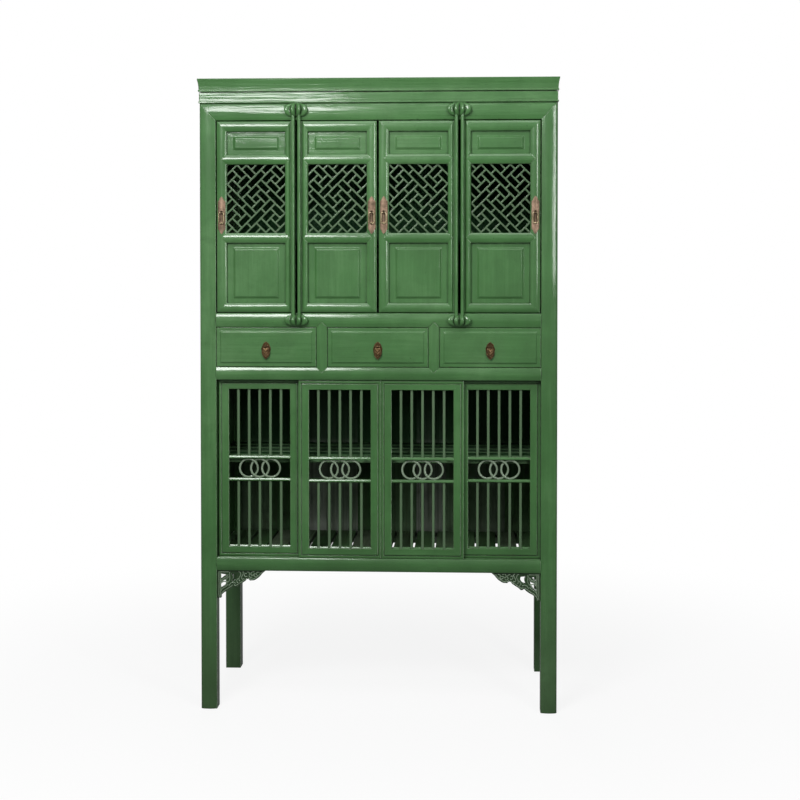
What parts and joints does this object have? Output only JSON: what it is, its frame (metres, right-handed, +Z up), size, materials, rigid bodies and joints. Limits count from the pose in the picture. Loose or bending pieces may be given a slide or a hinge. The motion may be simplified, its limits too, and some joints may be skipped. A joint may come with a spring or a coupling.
{
  "type": "lattice cabinet",
  "caption": "Tall green-lacquered wooden cupboard on legs: lattice pivot doors above, a row of drawers, and sliding grille doors over a slatted floor.",
  "frame": {"origin": "on the floor, under the middle of the cabinet's overall box", "axes": "+Z up, the front faces -Y, +X to the right of someone facing the front"},
  "size_m": [1.026, 0.492, 1.8],
  "materials": {
    "green_lacquer": "glossy worn lacquer",
    "inner_wood": "bare aged wood",
    "aged_brass": "aged, satin",
    "brown_brass": "dark patina"
  },
  "bodies": {
    "carcass": {"front_posts": "green_lacquer", "rear_posts": "green_lacquer", "cornice": "green_lacquer", "top_board": "green_lacquer", "top_rail": "green_lacquer", "door_rail": "green_lacquer", "drawer_rail": "green_lacquer", "bottom_rail": "green_lacquer", "side_rails": "green_lacquer", "rear_rails": "inner_wood", "side_panels": "green_lacquer", "back_planks": "inner_wood", "inner_floors": "inner_wood", "cupboard_shelf": "inner_wood", "inner_battens": "inner_wood", "drawer_dividers": "green_lacquer", "slatted_shelf": "inner_wood", "floor_slats": "inner_wood", "lotus_blocks": "green_lacquer", "spandrels": "green_lacquer"},
    "upper_door_1": {"upper_door_1_frame": "green_lacquer", "upper_door_1_panels": "green_lacquer", "upper_door_1_lattice": "green_lacquer", "upper_door_1_plate": "aged_brass"},
    "upper_door_1_ring": {"upper_door_1_pull": "aged_brass"},
    "upper_door_2": {"upper_door_2_frame": "green_lacquer", "upper_door_2_panels": "green_lacquer", "upper_door_2_lattice": "green_lacquer", "upper_door_2_plate": "aged_brass"},
    "upper_door_2_ring": {"upper_door_2_pull": "aged_brass"},
    "upper_door_3": {"upper_door_3_frame": "green_lacquer", "upper_door_3_panels": "green_lacquer", "upper_door_3_lattice": "green_lacquer", "upper_door_3_plate": "aged_brass"},
    "upper_door_3_ring": {"upper_door_3_pull": "aged_brass"},
    "upper_door_4": {"upper_door_4_frame": "green_lacquer", "upper_door_4_panels": "green_lacquer", "upper_door_4_lattice": "green_lacquer", "upper_door_4_plate": "aged_brass"},
    "upper_door_4_ring": {"upper_door_4_pull": "aged_brass"},
    "drawer_1": {"drawer_1_front": "green_lacquer", "drawer_1_box": "inner_wood", "drawer_1_plate": "brown_brass"},
    "drawer_1_drop": {"drawer_1_pull": "brown_brass"},
    "drawer_2": {"drawer_2_front": "green_lacquer", "drawer_2_box": "inner_wood", "drawer_2_plate": "brown_brass"},
    "drawer_2_drop": {"drawer_2_pull": "brown_brass"},
    "drawer_3": {"drawer_3_front": "green_lacquer", "drawer_3_box": "inner_wood", "drawer_3_plate": "brown_brass"},
    "drawer_3_drop": {"drawer_3_pull": "brown_brass"},
    "sliding_door_1": {"sliding_door_1_frame": "green_lacquer", "sliding_door_1_grille": "green_lacquer"},
    "sliding_door_2": {"sliding_door_2_frame": "green_lacquer", "sliding_door_2_grille": "green_lacquer"},
    "sliding_door_3": {"sliding_door_3_frame": "green_lacquer", "sliding_door_3_grille": "green_lacquer"},
    "sliding_door_4": {"sliding_door_4_frame": "green_lacquer", "sliding_door_4_grille": "green_lacquer"}
  },
  "joints": [
    {"name": "upper_door_1_pivot", "type": "hinge", "parent": "carcass", "child": "upper_door_1", "pos_m": [-0.2395, -0.2315, 1.4085], "axis": [0, 0, 1], "range_deg": [0, 80]},
    {"name": "upper_door_1_ring_swing", "type": "hinge", "parent": "upper_door_1", "child": "upper_door_1_ring", "pos_m": [-0.4448, -0.2288, 1.42], "axis": [-1, 0, 0], "range_deg": [0, 75]},
    {"name": "upper_door_2_pivot", "type": "hinge", "parent": "carcass", "child": "upper_door_2", "pos_m": [-0.2225, -0.2315, 1.4085], "axis": [0, 0, -1], "range_deg": [0, 80]},
    {"name": "upper_door_2_ring_swing", "type": "hinge", "parent": "upper_door_2", "child": "upper_door_2_ring", "pos_m": [-0.0172, -0.2288, 1.42], "axis": [-1, 0, 0], "range_deg": [0, 75]},
    {"name": "upper_door_3_pivot", "type": "hinge", "parent": "carcass", "child": "upper_door_3", "pos_m": [0.2225, -0.2315, 1.4085], "axis": [0, 0, 1], "range_deg": [0, 80]},
    {"name": "upper_door_3_ring_swing", "type": "hinge", "parent": "upper_door_3", "child": "upper_door_3_ring", "pos_m": [0.0172, -0.2288, 1.42], "axis": [-1, 0, 0], "range_deg": [0, 75]},
    {"name": "upper_door_4_pivot", "type": "hinge", "parent": "carcass", "child": "upper_door_4", "pos_m": [0.2395, -0.2315, 1.4085], "axis": [0, 0, -1], "range_deg": [0, 80]},
    {"name": "upper_door_4_ring_swing", "type": "hinge", "parent": "upper_door_4", "child": "upper_door_4_ring", "pos_m": [0.4448, -0.2288, 1.42], "axis": [-1, 0, 0], "range_deg": [0, 75]},
    {"name": "drawer_1_slide", "type": "slide", "parent": "carcass", "child": "drawer_1", "axis": [0, -1, 0], "range_m": [0, 0.3]},
    {"name": "drawer_1_drop_swing", "type": "hinge", "parent": "drawer_1", "child": "drawer_1_drop", "pos_m": [-0.31833, -0.2284, 1.04], "axis": [-1, 0, 0], "range_deg": [0, 75]},
    {"name": "drawer_2_slide", "type": "slide", "parent": "carcass", "child": "drawer_2", "axis": [0, -1, 0], "range_m": [0, 0.3]},
    {"name": "drawer_2_drop_swing", "type": "hinge", "parent": "drawer_2", "child": "drawer_2_drop", "pos_m": [0, -0.2284, 1.04], "axis": [-1, 0, 0], "range_deg": [0, 75]},
    {"name": "drawer_3_slide", "type": "slide", "parent": "carcass", "child": "drawer_3", "axis": [0, -1, 0], "range_m": [0, 0.3]},
    {"name": "drawer_3_drop_swing", "type": "hinge", "parent": "drawer_3", "child": "drawer_3_drop", "pos_m": [0.31833, -0.2284, 1.04], "axis": [-1, 0, 0], "range_deg": [0, 75]},
    {"name": "sliding_door_1_slide", "type": "slide", "parent": "carcass", "child": "sliding_door_1", "axis": [-1, 0, 0], "range_m": [-0.223, 0.003]},
    {"name": "sliding_door_2_slide", "type": "slide", "parent": "carcass", "child": "sliding_door_2", "axis": [-1, 0, 0], "range_m": [0, 0.235]},
    {"name": "sliding_door_3_slide", "type": "slide", "parent": "carcass", "child": "sliding_door_3", "axis": [1, 0, 0], "range_m": [0, 0.217]},
    {"name": "sliding_door_4_slide", "type": "slide", "parent": "carcass", "child": "sliding_door_4", "axis": [1, 0, 0], "range_m": [-0.226, 0]}
  ]
}
